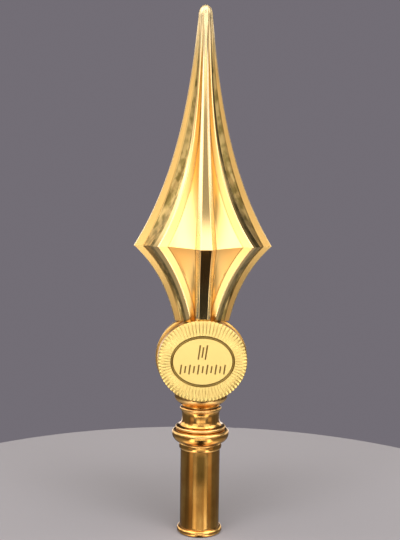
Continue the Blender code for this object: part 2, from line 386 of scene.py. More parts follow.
# %% The flared outline
lower_bow, lesser_lower_bow = 1.54, 1.25
upper_bow, lesser_upper_bow = 1.9, 3.3


def flare(share, start, end, bow):
    """A concave outline from start to end as share goes from 0 to 1."""
    fall = (math.exp(-bow * share) - math.exp(-bow)) / (1 - math.exp(-bow))
    return end + (start - end) * fall


# %% [markdown]
# A quadratic curve rounds each corner of a section, because burnishing never leaves a knife
# edge. It never takes more than 0.45 of the side next to it, so two curves can't meet.

# %% Round a corner
CORNER_LIMIT = 0.45


def rounded(before, corner, after, size, steps):
    """Points that round a corner, from size before it to size after it."""
    back, on = before - corner, after - corner
    first = corner + back.normalized() * min(size, back.length * CORNER_LIMIT)
    last = corner + on.normalized() * min(size, on.length * CORNER_LIMIT)
    points = []
    for i in range(steps + 1):
        t = i / steps
        points.append(first * (1 - t) ** 2 + corner * 2 * t * (1 - t) + last * t ** 2)
    return points


def stretch(a, b, steps):
    """Points strictly between a and b."""
    return [a.lerp(b, i / (steps + 1)) for i in range(1, steps + 1)]


# %% [markdown]
# Ribs are counted from the front one, round towards the right, so the front and back ribs are
# 0 and 4 and the side ribs 2 and 6. Towards the tip the bevels and panels flatten out, which
# relief says from 1 to nearly 0.

# %% The corners of one rib
RIBS = 8


def rib_corners(i, radius, belt, flat_half, z, relief):
    """Foot, corner, crown, corner and foot of rib i, going round with the angle."""
    share = math.sqrt(radius / belt)
    drop = min(rib_bevel_drop * share, bevel_drop_limit * radius) * relief
    reach = min(flat_half + rib_bevel_run * share, bevel_reach_limit * (radius - drop))
    angle = 2 * math.pi * i / RIBS - math.pi / 2
    out = Vector((math.cos(angle), math.sin(angle), 0))
    across = Vector((-math.sin(angle), math.cos(angle), 0))
    lift = Vector((0, 0, z))
    corners = ((radius - drop, -reach), (radius, -flat_half), (radius, 0), (radius, flat_half),
               (radius - drop, reach))
    return [out * r + across * a + lift for r, a in corners]


# %% [markdown]
# One section holds the same stations at every height: half a flat, a rounded corner, the
# bevel, its foot, the hollow panel, and the same again up to the next rib. Each station has a
# finish too: burnish in Red, painted shade at the bevel's foot in Green, painted shade on the
# side panels in Blue. A guard point on either side of a corner keeps a finish from bleeding
# over the flat beside it. The gap from rib i to the next has two halves: AFTER names each i
# whose first half takes a finish, BEFORE the last half's.

# %% One section of the spearhead
CORNER_STEPS, BEVEL_STEPS, PANEL_STEPS, FLAT_STEPS = 3, 1, 8, 2
BURNISHED, SATIN_PAINTED_PALE, MATTED, CREASE_SHADED = (1.0, 0.0), (0.5, 0.0), (0.0, 0.0), (0.0, 1.0)
# The satin bevels are painted pale as a highlight; the panels named below carry painted shade.
PALE_SATIN_AFTER, PALE_SATIN_BEFORE = (0, 4), (3, 7)
SIDE_SHADED_AFTER, SIDE_SHADED_BEFORE = (1, 5), (2, 6)


def spear_section(z, radius, lesser_radius, flat_half, rise, relief):
    """The points of one section and, for each, its finish."""
    ribs = []
    for i in range(RIBS):
        if i % 2 == 0:
            ribs.append(rib_corners(i, radius, belt_radius, flat_half, z, relief))
        else:
            ribs.append(rib_corners(i, lesser_radius, lesser_belt_radius, flat_half, z + rise,
                                    relief))
    points, finish = [], []

    def put(new, mark, side_shade):
        burnish, shade_in_hollows = mark
        points.extend(new)
        finish.extend([(burnish, shade_in_hollows * relief, side_shade * relief ** 2)] * len(new))

    def turn_corner(before, corner, after, marks, side_shade_before, side_shade_after):
        guard = rounded(before, corner, after, guard_round, 1)
        put(guard[:1], marks[0], side_shade_before)
        put(rounded(before, corner, after, corner_round, CORNER_STEPS), marks[1],
            side_shade_before)
        put(guard[-1:], marks[2], side_shade_after)

    for i in range(RIBS):
        crown, corner, foot = ribs[i][2:5]
        near_foot, near_corner, near_crown = ribs[(i + 1) % RIBS][:3]
        first, last = float(i in SIDE_SHADED_AFTER), float(i in SIDE_SHADED_BEFORE)
        bevel = SATIN_PAINTED_PALE if i in PALE_SATIN_AFTER else MATTED
        near_bevel = SATIN_PAINTED_PALE if i in PALE_SATIN_BEFORE else MATTED
        panel = first + last
        put([crown] + stretch(crown, corner, FLAT_STEPS), BURNISHED, first)
        turn_corner(crown, corner, foot, (BURNISHED, BURNISHED, bevel), first, first)
        put(stretch(corner, foot, BEVEL_STEPS), bevel, first)
        turn_corner(corner, foot, near_foot, (bevel, CREASE_SHADED, MATTED), first, panel)
        middle = Vector((foot.x + near_foot.x, foot.y + near_foot.y, 0))
        sag = middle.normalized() * panel_hollow * relief
        for k, point in enumerate(stretch(foot, near_foot, PANEL_STEPS)):
            t = (k + 1) / (PANEL_STEPS + 1)
            put([point - sag * 4 * t * (1 - t)], MATTED, panel)
        turn_corner(foot, near_foot, near_corner, (MATTED, CREASE_SHADED, near_bevel), panel, last)
        put(stretch(near_foot, near_corner, BEVEL_STEPS), near_bevel, last)
        turn_corner(near_foot, near_corner, near_crown, (near_bevel, BURNISHED, BURNISHED),
                    last, last)
        put(stretch(near_corner, near_crown, FLAT_STEPS), BURNISHED, last)
    return points, finish


# %% [markdown]
# The sections stand closest together at the belt, where the outline turns fastest. On the way
# to the tip the flats narrow with the outline; below the belt they hardly do.

# %% Stack the sections
LOWER_RINGS, UPPER_RINGS, DOME_RINGS = 40, 110, 12
CROWDING = 1.15
lower_taper, upper_taper = 0.2, 0.92
fade_factor, least_relief = 5, 0.12


def spear_sections():
    """Every section from the foot to the shoulder of the tip."""
    sections = []
    for i in range(LOWER_RINGS + 1):
        share = (1 - i / LOWER_RINGS) ** CROWDING
        radius = flare(share, belt_radius, foot_radius, lower_bow)
        lesser = flare(share, lesser_belt_radius, lesser_foot_radius, lesser_lower_bow)
        flat_half = rib_flat_half_width * (radius / belt_radius) ** lower_taper
        sections.append(spear_section(belt_z - lower_height * share, radius, lesser, flat_half,
                                      lesser_belt_rise * (1 - share), 1.0))
    for i in range(1, UPPER_RINGS + 1):
        share = (i / UPPER_RINGS) ** CROWDING
        radius = flare(share, belt_radius, tip_radius, upper_bow)
        lesser = flare(share, lesser_belt_radius, lesser_tip_radius, lesser_upper_bow)
        flat_half = rib_flat_half_width * (radius / belt_radius) ** upper_taper
        relief = min(1.0, (1 - share) * fade_factor + least_relief)
        sections.append(spear_section(belt_z + upper_height * share, radius, lesser, flat_half,
                                      lesser_belt_rise * (1 - share), relief))
    return sections


# %% [markdown]
# At the foot the front and back ribs would run through the face plates, so they are tucked
# in. Moving single points does it, and leaves the rest of the casting alone.

# %% Tuck the foot behind the plates
tuck_gap = 0.3 * MM


def tucked(point):
    """Keep the spearhead's foot behind the face plates where they stand in front of it."""
    half_width, half_height = disc_half_width + tuck_gap, disc_half_height + tuck_gap
    width = half_width ** 2 - point.x ** 2
    if width <= 0:
        return point
    plate_top = disc_centre_z + half_height * math.sqrt(width) / half_width
    reach = -plate_high.y - tuck_gap
    if point.z < plate_top and abs(point.y) > reach:
        return Vector((point.x, math.copysign(reach, point.y), point.z))
    return point


# %% [markdown]
# The spearhead grows from its foot as one closed skin. A blunt dome ends it: the last section
# again, shrunk along a quarter circle.

# %% Build the spearhead
def make_spearhead():
    sections = spear_sections()
    shoulder, shoulder_finish = sections[-1]
    for i in range(1, DOME_RINGS):
        angle = math.pi / 2 * i / DOME_RINGS
        shrink = math.cos(angle)
        z = shoulder_z + dome_height * math.sin(angle)
        dome = [Vector((p.x * shrink, p.y * shrink, z)) for p in shoulder]
        sections.append((dome, shoulder_finish))

    bm = bmesh.new()
    finish_layer = bm.verts.layers.float_color.new("finish")
    first_points, first_finish = sections[0]
    ring, station = start_body(bm, [tucked(p) for p in first_points])
    for vert in ring:
        vert[finish_layer] = (*first_finish[vert[station]], 1)
    for points, finish in sections[1:]:
        ring = grow_ring(bm, ring, station, [tucked(p) for p in points])
        for vert in ring:
            vert[finish_layer] = (*finish[vert[station]], 1)
    top = Vector((0, 0, spear_high.z))
    ring = grow_ring(bm, ring, station, [top] * len(shoulder))
    bmesh.ops.pointmerge(bm, verts=ring, merge_co=top)
    return add_piece("ribbed_spearhead", bm, sharp_degrees=32)


spearhead = make_spearhead()
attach(spearhead, "root")
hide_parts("spearhead")
spearhead.data.materials.append(spear_gilding())

# %% [markdown]
# ## The cartouche
#
# The drum is an oval box with a raised bead round its middle. Its wall is a chain of ovals
# growing along Y, because a scaled cylinder would have no bead.

# %% A body made of ovals
DRUM_SIDES = 192
drum_rim_height = 1.5 * MM
drum_rim_width = 2.4 * MM
drum_half_depth = drum_high.y


def drum_oval(grow, y):
    """The oval's points at a depth y, standing out by grow."""
    half_width, half_height = disc_half_width + grow, disc_half_height + grow
    points = []
    for i in range(DRUM_SIDES):
        angle = 2 * math.pi * i / DRUM_SIDES
        points.append(Vector((half_width * math.cos(angle), y,
                              disc_centre_z + half_height * math.sin(angle))))
    return points


def oval_body(chain):
    """A body whose wall follows a chain of ovals, each given by how far it grows and its y."""
    bm = bmesh.new()
    ring, station = start_body(bm, drum_oval(*chain[0]))
    for grow, y in chain[1:]:
        ring = grow_ring(bm, ring, station, drum_oval(grow, y))
    close_body(bm)
    return bm


# %% [markdown]
# The drum's top is sliced flat for the spearhead's seat. Slicing a finished body and filling
# the cut keeps the seat perfectly level.

# %% Build the drum
wall_edge = 0.25 * MM
RIM_STEPS = 14


def make_drum():
    rim = [(height, -y) for y, height in
           arc(0, 0, drum_rim_width / 2, drum_rim_height, 180, 0, RIM_STEPS)]
    chain = [(-wall_edge, -drum_half_depth), (0, -drum_half_depth + wall_edge),
             (0, -drum_half_depth / 2)]
    chain += sorted(rim, key=lambda p: p[1])
    chain += [(0, drum_half_depth / 2), (0, drum_half_depth - wall_edge),
              (-wall_edge, drum_half_depth)]
    bm = oval_body(chain)
    cutaway = bmesh.ops.bisect_plane(bm, geom=bm.verts[:] + bm.edges[:] + bm.faces[:],
                                     dist=0.001 * MM, plane_co=(0, 0, drum_high.z),
                                     plane_no=(0, 0, 1), clear_outer=True)
    seat = [e for e in cutaway["geom_cut"] if isinstance(e, bmesh.types.BMEdge)]
    bmesh.ops.edgeloop_fill(bm, edges=seat)
    return add_piece("oval_drum", bm, sharp_degrees=35)


# %% [markdown]
# Little of the drum shows between the plates, and its gilding is painted browner than theirs,
# as shade between the plates.

# %% Gilding of the drum
drum_shade_brown = (0.55, 0.30, 0.08, 1)
drum_gold = (0.74, 0.45, 0.14, 1)


def drum_gilding():
    finish = Finish("drum_gilding")
    clouds = finish.noise(80, detail=4)
    # The drum is painted browner than the plates: painted shade between them.
    colour = finish.mix(clouds.between(0.3, 0.7), drum_shade_brown, drum_gold)
    grain = finish.noise(GRAIN_SCALE, detail=2)
    return finish.done(colour, 0.34 + (clouds - 0.5) * 0.1, grain, 0.2)


drum = make_drum()
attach(drum, "root")
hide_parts("cartouche_drum")
drum.data.materials.append(drum_gilding())

# %% [markdown]
# ## The face plates
#
# A face plate is a sunburst: sixty-eight rounded flutes run from a sunk channel to a scalloped
# rim, like a pie crust. Inside the channel lies a flat satin field. Displacing a disc by a
# texture would blur the flutes' valleys, so they are drawn ring by ring.

# %% Face plate sizes
FLUTES = 68
flute_depth = 0.22 * MM
scallop_depth = 0.45 * MM
plate_rise = 0.9 * MM
rim_round_width, rim_round_height = 0.55 * MM, 0.5 * MM
channel_half_width = 22.9 * MM
channel_half_height = 18.4 * MM
channel_width = 2.0 * MM
channel_depth = 1.0 * MM
field_half_width = channel_half_width - channel_width
field_half_height = channel_half_height - channel_width
plate_back = -plate_high.y
plate_front = -plate_low.y
print("plate", round((plate_front - plate_back) / MM, 2), "mm thick")


# %% [markdown]
# Ten stations across each flute are enough to draw its round crest and the sharp valley
# beside it. Each station also notes how low it lies, so that the gilding finds the valleys.

# %% One ring of a face plate
FLUTE_STATIONS = 10


def crest(station):
    """1 on a flute's crest and 0 in the valley beside it."""
    across = (station % FLUTE_STATIONS) / FLUTE_STATIONS * 2 - 1
    return math.sqrt(max(0.0, 1 - across * across))


def plate_ring(half_width, half_height, out, valley, inset):
    """Points of one oval ring, out from the drum's middle, dipping by valley between flutes."""
    sides = FLUTES * FLUTE_STATIONS
    points, lows = [], []
    for i in range(sides):
        angle = 2 * math.pi * (i / sides)
        low = 1 - crest(i)
        points.append(Vector(((half_width - inset * low) * math.cos(angle),
                              -(out - valley * low),
                              disc_centre_z + (half_height - inset * low) * math.sin(angle))))
        lows.append(low)
    return points, lows


# %% [markdown]
# The rings climb the scalloped edge, round the rim and run in over the flutes. The flutes
# rise to the field's level and fade just before the channel.

# %% The rings of the flutes
RIM_RINGS, FLUTE_RINGS = 4, 8


def plate_rings():
    """The rings in order, from the plate's back edge over the flutes to the channel's lip."""
    shoulder = plate_front - plate_rise
    rings = [plate_ring(disc_half_width, disc_half_height, out, 0, scallop_depth)
             for out in (plate_back, plate_back + 0.3 * (shoulder - plate_back))]
    for i in range(1, RIM_RINGS + 1):
        share = i / RIM_RINGS
        angle = math.pi / 2 * share
        inward = rim_round_width * (1 - math.cos(angle))
        out = shoulder - rim_round_height + rim_round_height * math.sin(angle)
        rings.append(plate_ring(disc_half_width - inward, disc_half_height - inward, out,
                                0.5 * flute_depth, scallop_depth * (1 - 0.3 * share)))
    for i in range(1, FLUTE_RINGS + 1):
        share = i / FLUTE_RINGS
        width = disc_half_width + (channel_half_width - disc_half_width) * share
        height = disc_half_height + (channel_half_height - disc_half_height) * share
        rise = plate_rise * math.sin(math.pi / 2 * min(1.0, share * 1.5))
        valley = flute_depth * (1 - max(0.0, share - 0.8) * 3.0)
        rings.append(plate_ring(width, height, shoulder + rise, valley,
                                scallop_depth * 0.5 * (1 - share)))
    return rings


# %% [markdown]
# The channel is what a round-nosed punch leaves: steep walls and a rounded floor. A sine with
# a power below one gives just that section.

# %% The rings of the channel
CHANNEL_STEPS = 10


def channel_rings():
    """The sunk channel round the field: wall, rounded floor, wall, and the field's edge."""
    rings = []
    for i in range(1, CHANNEL_STEPS):
        share = i / CHANNEL_STEPS
        sink = channel_depth * math.sin(math.pi * share) ** 0.6
        inward = channel_width * share
        rings.append(plate_ring(channel_half_width - inward, channel_half_height - inward,
                                plate_front - sink, 0, 0))
    rings.append(plate_ring(field_half_width, field_half_height, plate_front, 0, 0))
    return rings


# %% [markdown]
# The field carries a short group and a long row of plain slanting strokes, which spell
# nothing. Each cutter is a cube with rounded edges, and a Boolean takes it out of the field.
# The cutters have a darker material, which the Boolean carries into the grooves.

# %% Engraving cutters
stroke_depth = 0.4 * MM
stroke_width = 1.1 * MM
stroke_edge = 0.25 * MM
stroke_slant = math.radians(8)
LESSER_STROKE = 0.72
SHORT_STROKES, LONG_STROKES = 3, 11
short_width, short_height, short_rise = 7.5 * MM, 10.5 * MM, 6.6 * MM
long_width, long_height, long_rise = 34.0 * MM, 7.0 * MM, -5.6 * MM


def stroke_cutter(name):
    """All the strokes of one plate as a single cutter."""
    bm = bmesh.new()
    rows = ((SHORT_STROKES, short_width, short_height, short_rise),
            (LONG_STROKES, long_width, long_height, long_rise))
    for strokes, width, height, rise in rows:
        for i in range(strokes):
            x = width * ((i + 0.5) / strokes - 0.5)
            length = height * (LESSER_STROKE if i % 2 else 1.0)
            place = Matrix.Translation((x, -plate_front, disc_centre_z + rise))
            place = place @ Matrix.Rotation(stroke_slant, 4, "Y")
            size = Matrix.Diagonal((stroke_width, 2 * stroke_depth, length, 1))
            bar = bmesh.ops.create_cube(bm, size=1, matrix=place @ size)["verts"]
            bar_edges = [e for e in bm.edges if e.verts[0] in bar and e.verts[1] in bar]
            bmesh.ops.bevel(bm, geom=bar_edges, offset=stroke_edge, offset_type="OFFSET",
                            segments=2, profile=0.5, affect="EDGES", material=-1)
    return add_piece(name, bm)


# %% [markdown]
# A plate is one casting, turned round for the back of the drum. Its Red mark is the channel
# and its Green mark the valleys. The field is unmarked, also where the Boolean has made new
# points on it.

# %% Build a face plate
def clear_field(plate):
    """Take the marks off every point inside the channel."""
    marks = plate.data.attributes["finish"].data
    for vert in plate.data.vertices:
        across = vert.co.x / field_half_width
        upright = (vert.co.z - disc_centre_z) / field_half_height
        if across ** 2 + upright ** 2 < 0.99:
            marks[vert.index].color = (0, 0, 0, 1)


def make_face_plate(name, turn, plate_material, groove_material):
    bm = bmesh.new()
    finish_layer = bm.verts.layers.float_color.new("finish")
    fluted, channel = plate_rings(), channel_rings()
    zones = [(0.0, 1.0)] * len(fluted) + [(1.0, 0.0)] * (len(channel) - 1) + [(0.0, 0.0)]
    rings = list(zip(fluted + channel, zones))
    ring, station = start_body(bm, fluted[0][0])
    for (points, lows), (sunk, valleys) in rings[1:]:
        ring = grow_ring(bm, ring, station, points)
        for vert in ring:
            vert[finish_layer] = (sunk, valleys * lows[vert[station]], 0, 1)
    close_body(bm)
    spin = Matrix.Rotation(turn, 3, "Z")
    bmesh.ops.rotate(bm, verts=bm.verts, cent=(0, 0, 0), matrix=spin)
    plate = add_piece(name, bm, sharp_degrees=50)
    plate.data.materials.append(plate_material)

    cutter = stroke_cutter(name + "_cutter")
    cutter.data.transform(spin.to_4x4())
    cutter.data.materials.append(groove_material)
    cut_away(plate, cutter, 40, keep_material=True)
    clear_field(plate)
    return plate


# %% [markdown]
# The plates are satin gold. The valleys between the flutes hold dark patina, the sunk channel
# is painted dark olive as shade, and the strokes are darkest, as an engraver fills a cut so
# that it reads from afar.

# %% Gilding of the plates
plate_gold = (0.94, 0.70, 0.25, 1)
valley_brown = (0.30, 0.17, 0.04, 1)
channel_shade_olive = (0.20, 0.13, 0.035, 1)
stroke_dark = (0.17, 0.10, 0.025, 1)
stroke_brown = (0.32, 0.20, 0.06, 1)


def plate_gilding():
    finish = Finish("plate_gilding")
    channel = finish.marks("Red")
    valley = finish.marks("Green")
    clouds = finish.noise(90, detail=4)
    colour = finish.mix((clouds - 0.45) * 0.5, plate_gold, warm_gold)
    colour = finish.mix(valley.between(0.5, 1.0) * 0.35, colour, valley_brown)
    # The sunk channel is painted dark olive as shade.
    colour = finish.mix(channel.between(0.1, 0.7) * 0.85, colour, channel_shade_olive)
    roughness = 0.34 + (clouds - 0.5) * 0.1 - channel * 0.06
    return finish.done(colour, roughness, finish.noise(GRAIN_SCALE, detail=2), 0.2)


def stroke_patina():
    finish = Finish("stroke_patina")
    clouds = finish.noise(900, detail=2)
    return finish.done(finish.mix(clouds, stroke_dark, stroke_brown), 0.5)


# %% [markdown]
# The same plate closes the drum at the front and at the back, where the photograph can't see
# it. Half a turn about Z carries it over.

# %% Put the plates on the drum
gilding, patina = plate_gilding(), stroke_patina()
for name, node, turn in (("front_sunburst_plate", "front_face_plate", 0),
                         ("back_sunburst_plate", "back_face_plate", math.pi)):
    plate = make_face_plate(name, turn, gilding, patina)
    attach(plate, "root")
    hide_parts(node)

# %% [markdown]
# ## The turned collar and socket
#
# Both are lathe work, so one profile is spun about the Z axis, as a turner would cut it. The
# profile also knows where it turns outwards, which hands rub and which is painted bright as a
# highlight, and where it turns inwards, which is painted dark as shade in the hollows. Guard
# points hold both to the edges and hollows themselves.

# %% Spin a profile
TURNED_STEPS = 160
guard_reach = 0.7 * MM


def outward_and_inward_turn(profile, i):
    """How far the profile turns outwards (wear and painted highlight) or inwards (painted
    shade), up to 1.
    """
    before, here, after = (profile[k % len(profile)] for k in (i - 1, i, i + 1))
    if (here - before).length == 0 or (after - here).length == 0:
        return 0, 0
    turn = (here - before).angle_signed(after - here)
    return max(0.0, min(1.0, -turn)), max(0.0, min(1.0, turn))


def with_guards(profile):
    """Add points close to both ends of every long straight stretch."""
    points = []
    for start, end in zip(profile, profile[1:]):
        start, end = Vector(start), Vector(end)
        points.append(start)
        if (end - start).length > 3 * guard_reach:
            along = (end - start).normalized() * guard_reach
            points += [start + along, end - along]
    return points + [Vector(profile[-1])]


def turn_profile(name, profile, closed):
    """Spin a profile of (r, z) points into a closed body that knows its edges and hollows."""
    profile = with_guards(profile)
    bm = bmesh.new()
    finish_layer = bm.verts.layers.float_color.new("finish")
    verts = [bm.verts.new((point.x, 0, point.y)) for point in profile]
    for i, vert in enumerate(verts):
        edge_wear_and_shine, shade_in_hollows = outward_and_inward_turn(profile, i)
        vert[finish_layer] = (edge_wear_and_shine, shade_in_hollows, 0, 1)
    edges = [bm.edges.new(pair) for pair in zip(verts, verts[1:])]
    if closed:
        edges.append(bm.edges.new((verts[-1], verts[0])))
    bmesh.ops.spin(bm, geom=verts + edges, cent=(0, 0, 0), axis=(0, 0, 1), angle=2 * math.pi,
                   steps=TURNED_STEPS, use_merge=True)
    bmesh.ops.remove_doubles(bm, verts=bm.verts, dist=0.005 * MM)
    return add_piece(name, bm, sharp_degrees=50)


# %% [markdown]
# The socket is a plain tube whose mouth is rolled over into a bead, so that it doesn't cut the
# pole. Its profile is a closed loop, because the tube is open at both ends.

# %% Turn the socket tube
socket_outer_radius = 14.3 * MM
socket_bore_radius = 13.0 * MM
bead_radius = tube_high.x
bead_height = 4.5 * MM
bead_round = 2.0 * MM
mouth_land = 0.6 * MM
fillet_width, fillet_start, fillet_end = 0.15 * MM, 0.1 * MM, 0.5 * MM


def make_socket_tube():
    bead_centre = bead_radius - bead_round
    profile = [(socket_bore_radius, 0), (bead_centre + mouth_land, 0)]
    profile += arc(bead_centre, bead_height / 2, bead_round, bead_height / 2, -66, 86, 22)
    profile += [(socket_outer_radius + fillet_width, bead_height + fillet_start),
                (socket_outer_radius, bead_height + fillet_end),
                (socket_outer_radius, tube_high.z), (socket_bore_radius, tube_high.z)]
    return turn_profile("pole_socket", profile, True)


# %% [markdown]
# From below, the collar is a foot ring, a fat knop, a thinner ring, a hollow neck with a ring
# on top, and a cradle that widens to carry the drum. Its foot is bored out for the socket.

# %% Collar sizes
fit_gap = 0.3 * MM
foot_ring_radius, foot_ring_height, foot_ring_round = 15.5 * MM, 5.0 * MM, 0.8 * MM
knop_radius, knop_height = 20.7 * MM, 9.6 * MM
knop_lower_round, knop_upper_round, knop_middle = 5.0 * MM, 2.8 * MM, 0.73
knop_seat = 1.3 * MM
upper_ring_radius, upper_ring_height, upper_ring_round = 18.2 * MM, 2.6 * MM, 1.2 * MM
upper_ring_seat = 0.9 * MM
neck_radius, neck_height = 13.6 * MM, 11.6 * MM
neck_ring_radius, neck_ring_height, neck_ring_round = 15.1 * MM, 2.2 * MM, 0.8 * MM
cradle_radius, cradle_height = 19.6 * MM, 6.8 * MM

# %% [markdown]
# Beads are arcs, but the neck and the cradle are freer curves, so they are read off as pairs:
# the share of the height, and how much wider the collar is there.

# %% Draw the collar's profile
NECK = ((0.02, 2.2), (0.08, 1.6), (0.14, 1.0), (0.20, 0.6), (0.28, 0.25), (0.38, 0.06),
        (0.55, 0), (0.72, 0), (0.82, 0.1), (0.90, 0.3), (0.96, 0.6), (0.99, 0.9))
CRADLE = ((0.03, 0.06), (0.12, 0.05), (0.22, 0.09), (0.34, 0.19), (0.48, 0.37), (0.62, 0.60),
          (0.78, 0.78), (1.0, 0.92))


def collar_profile():
    """The mouldings from the recess over the foot ring and knop up to the cradle."""
    foot_z = collar_low.z
    recess_top = tube_high.z + fit_gap
    recess = socket_outer_radius + fit_gap
    profile = [(0, recess_top), (recess, recess_top), (recess, foot_z)]
    profile += arc(foot_ring_radius - foot_ring_round, foot_z + foot_ring_height / 2,
                   foot_ring_round, foot_ring_height * 0.48, -80, 80, 12)
    knop_foot = foot_z + foot_ring_height
    middle = knop_foot + knop_middle * knop_height
    profile += [(neck_radius + knop_seat, knop_foot)]
    profile += arc(knop_radius - knop_lower_round, middle, knop_lower_round,
                   0.68 * knop_height, -74, 0, 16)
    profile += arc(knop_radius - knop_upper_round, middle, knop_upper_round,
                   0.26 * knop_height, 10, 80, 8)
    ring_foot = knop_foot + knop_height
    profile += [(upper_ring_radius - upper_ring_seat, ring_foot)]
    profile += arc(upper_ring_radius - upper_ring_round, ring_foot + upper_ring_height / 2,
                   upper_ring_round, 0.47 * upper_ring_height, -70, 84, 12)
    neck_foot = ring_foot + upper_ring_height
    for share, widening in NECK:
        profile.append((neck_radius + widening * MM, neck_foot + neck_height * share))
    neck_ring_foot = neck_foot + neck_height
    profile += arc(neck_ring_radius - neck_ring_round, neck_ring_foot + neck_ring_height / 2,
                   neck_ring_round, 0.47 * neck_ring_height, -72, 72, 12)
    cradle_foot = neck_ring_foot + neck_ring_height
    spread = cradle_radius - neck_radius
    for share, widening in CRADLE:
        profile.append((neck_radius + spread * widening, cradle_foot + cradle_height * share))
    return profile + [(cradle_radius, collar_high.z), (0, collar_high.z)]


# %% [markdown]
# The collar's top is cut to the drum's oval, as a fitter would file a saddle to sit round it.
# The cutter is the drum itself with its bead, a little larger all round.

# %% Cut the saddle
def saddle_cutter():
    """The drum and its middle bead, grown by the fit gap."""
    half_rim = drum_rim_width / 2 + fit_gap
    reach = 2 * drum_half_depth
    tall = fit_gap + drum_rim_height
    chain = ((fit_gap, -reach), (fit_gap, -half_rim), (tall, -half_rim), (tall, half_rim),
             (fit_gap, half_rim), (fit_gap, reach))
    return add_piece("saddle_cutter", oval_body(chain))


def make_collar():
    collar = turn_profile("turned_collar", collar_profile(), False)
    cut_away(collar, saddle_cutter(), 50)
    return collar


# %% [markdown]
# The turned parts are handled most, so their gilding is worn to a browner, smoother brass.
# Fine rings from the lathe run round them and dark streaks run down them. Edges are worn, and
# painted bright as a highlight, and the grooves are painted dark as shade. High on the socket,
# front and back, a dark olive reflection is painted in.

# %% Gilding of the turned parts
worn_brown = (0.66, 0.32, 0.07, 1)
worn_gold = (0.84, 0.48, 0.14, 1)
streak_brown = (0.38, 0.16, 0.03, 1)
edge_highlight_gold = (0.98, 0.64, 0.26, 1)
dark_reflection_olive = (0.17, 0.10, 0.02, 1)
hollow_shade_brown = (0.14, 0.05, 0.01, 1)


def turned_gilding():
    finish = Finish("turned_gilding")
    rubbed_and_lit_edges = finish.marks("Red").between(0.06, 0.25)
    shade_in_hollows = finish.marks("Green")
    clouds = finish.noise(60, detail=4)
    streaks = finish.noise(260, stretch=(1, 1, 0.03), detail=3)
    rings = finish.noise(2400, stretch=(0.01, 0.01, 1), detail=2)
    brass = finish.mix(clouds.between(0.35, 0.7), worn_brown, worn_gold)
    brass = finish.mix(streaks.between(0.45, 0.7) * 0.6, brass, streak_brown)
    # Outward edges are painted bright: wear and a painted highlight.
    brass = finish.mix(rubbed_and_lit_edges * 0.8, brass, edge_highlight_gold)
    # High on the socket, front and back, a dark olive reflection is painted.
    dark_reflection = finish.along("Z").band(32 * MM, 46 * MM, 58 * MM, 63 * MM)
    dark_reflection = dark_reflection * finish.along("X").size().below(1.5 * MM, 5 * MM)
    brass = finish.mix(dark_reflection * 0.8, brass, dark_reflection_olive)
    # The grooves and hollows are painted dark as shade.
    brass = finish.mix(shade_in_hollows.between(0.1, 0.7) * 0.85, brass, hollow_shade_brown)
    roughness = 0.17 + (streaks - 0.5) * 0.14 + (clouds - 0.5) * 0.08 + rubbed_and_lit_edges * 0.2
    return finish.done(brass, roughness, rings, 0.12)


worn_brass = turned_gilding()
for piece, node in ((make_collar(), "collar"), (make_socket_tube(), "socket_tube")):
    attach(piece, "root")
    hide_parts(node)
    piece.data.materials.append(worn_brass)

# %% [markdown]
# ## The studio
#
# The finial stands on a plain pale disc. The disc is kept out of the mirroring gold, which
# would otherwise turn grey below, but it still takes the finial's soft shadow.

# %% Lay the floor
floor_pale = (0.18, 0.17, 0.18, 1)
floor_speck = (0.15, 0.14, 0.15, 1)


def pale_floor():
    bm = bmesh.new()
    bmesh.ops.create_circle(bm, segments=128, radius=0.3, cap_ends=True)
    floor = add_piece("floor", bm)
    finish = Finish("floor_paint", metallic=0.0)
    specks = finish.noise(30, detail=3)
    colour = finish.mix(specks * 0.1, floor_pale, floor_speck)
    floor.data.materials.append(finish.done(colour, 0.8))
    floor.visible_glossy = False
    floor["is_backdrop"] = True


pale_floor()

# %% [markdown]
# One soft box high in front lights the floor and gives the finial its shadow. The gold doesn't
# mirror it, because everything that the gold mirrors is painted in the next step.

# %% Hang the light
def soft_light(name, azimuth, elevation, distance, width, height, power):
    """A soft box seen from the spearhead's belt at the given bearing, facing it."""
    light = bpy.data.lights.new(name, "AREA")
    light.shape = "RECTANGLE"
    light.size, light.size_y = width, height
    light.energy = power
    lamp = bpy.data.objects.new(name, light)
    a, e = math.radians(azimuth), math.radians(elevation)
    away = Vector((math.sin(a) * math.cos(e), -math.cos(a) * math.cos(e), math.sin(e)))
    lamp.location = Vector((0, 0, belt_z)) + away * distance
    lamp.rotation_euler = away.to_track_quat("Z", "Y").to_euler()
    bpy.context.scene.collection.objects.link(lamp)
    print(name, [round(c, 2) for c in lamp.location])
    return lamp


top_box = soft_light("top_box", azimuth=0, elevation=62, distance=1.3, width=1.3, height=0.44,
                     power=30)
top_box.visible_glossy = False

# %% [markdown]
# Burnished gold shows little of its own: what it shows is its surroundings. A photographer
# places white cards until each flat mirrors the right one, and the dark gaps between the cards
# draw the brown stripes. Here the cards are painted on the surroundings, by direction: up,
# side (to either side alike), and forward, towards the camera, each from -1 to 1.

# %% Paint the cards
CARD, WING_TOP, KNEE, GROUND, WALL, BEHIND, BROW = 1.9, 2.0, 0.7, 1.2, 1.2, 1.5, 0.4


